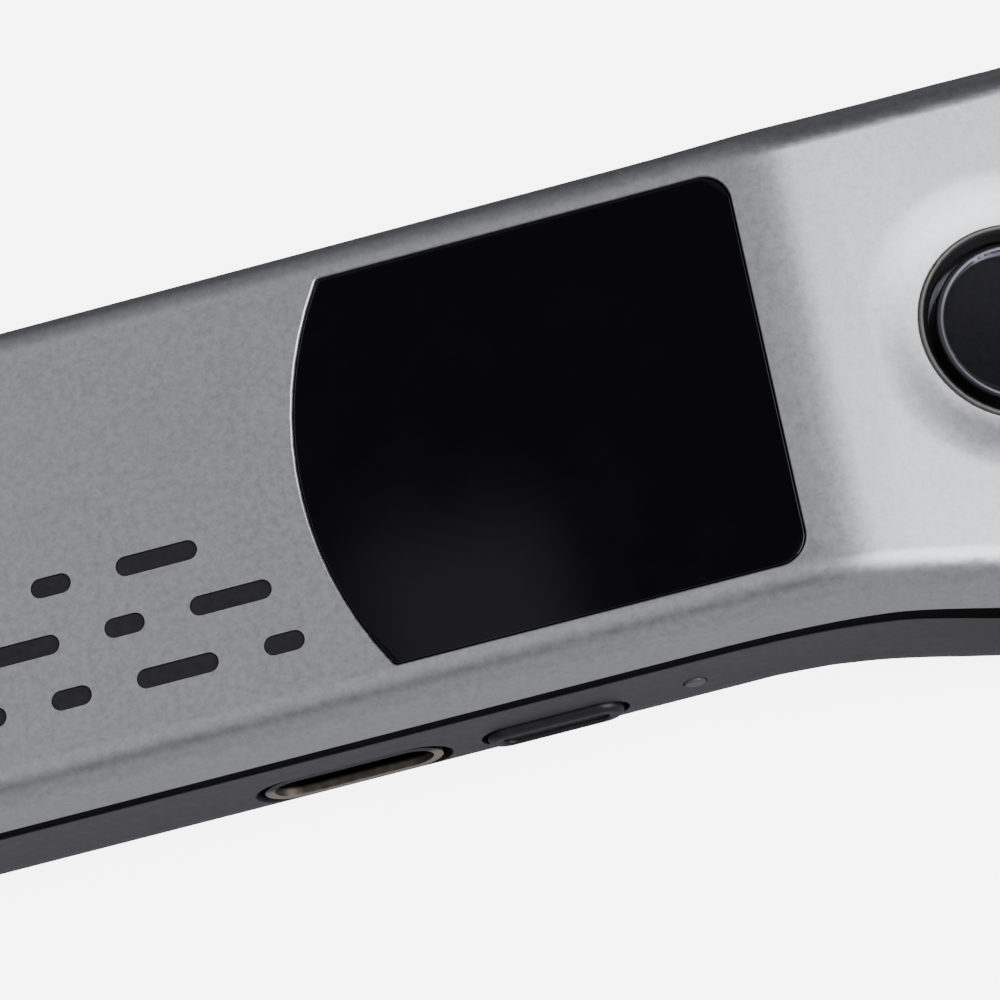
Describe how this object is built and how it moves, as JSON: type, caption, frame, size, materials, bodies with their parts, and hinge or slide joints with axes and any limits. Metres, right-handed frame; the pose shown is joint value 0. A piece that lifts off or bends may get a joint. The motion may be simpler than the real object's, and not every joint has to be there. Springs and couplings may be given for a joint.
{
  "type": "voice recorder",
  "caption": "Slim handheld voice recorder with a square display, speaker slots, side port and power key, and a flared sloping head with a round record key.",
  "frame": {"origin": "centre of the bounding box at the flat back, where the recorder rests", "axes": "+X along the handle towards the head, +Y across (the port and the power key are on the -Y side), +Z out of the front face"},
  "size_m": [0.1284, 0.0304, 0.0161],
  "materials": {
    "silver_cover": "satin",
    "dark_shell": "satin",
    "black_rubber": "matte",
    "display_glass": "gloss",
    "black_plastic": "gloss",
    "inner_plastic": "matte",
    "cloth": "matte",
    "steel": "satin",
    "trim_metal": "satin",
    "board": "satin",
    "battery_wrap": "satin",
    "clear_plastic": "satin",
    "flex_film": "gloss",
    "foam": "matte"
  },
  "bodies": {
    "housing": {"front_cover": "silver_cover", "back_shell": "dark_shell", "seam_gasket": "black_rubber", "screen_glass": "display_glass", "glass_tape": "foam", "display_frame": "inner_plastic", "display_panel": "display_glass", "display_flex": "flex_film", "speaker_grille": "inner_plastic", "speaker_gasket": "foam", "speaker_frame": "inner_plastic", "speaker_cone": "cloth", "speaker_magnet": "steel", "main_board": "board", "shield_can": "steel", "usb_shell": "steel", "usb_tongue": "black_plastic", "power_switch": "black_plastic", "led_light_pipe": "clear_plastic", "led_chip": "clear_plastic", "battery_cell": "battery_wrap", "battery_pad": "foam", "chassis": "inner_plastic", "chassis_screws": "steel", "button_collar": "trim_metal", "button_bezel": "black_plastic", "dome_switch": "steel", "button_board": "board", "head_flex": "flex_film", "mic_left": "trim_metal", "mic_right": "trim_metal", "mic_mesh_left": "cloth", "mic_mesh_right": "cloth"},
    "record_key": {"record_button": "black_plastic"},
    "power_key": {"power_button": "dark_shell"}
  },
  "joints": [
    {"name": "record_press", "type": "slide", "parent": "housing", "child": "record_key", "axis": [-0.342, 0, -0.9397], "range_m": [0, 0.0004], "stiffness_N_per_m": 400},
    {"name": "power_press", "type": "slide", "parent": "housing", "child": "power_key", "axis": [0, 1, 0], "range_m": [0, 0.0003], "stiffness_N_per_m": 400}
  ]
}
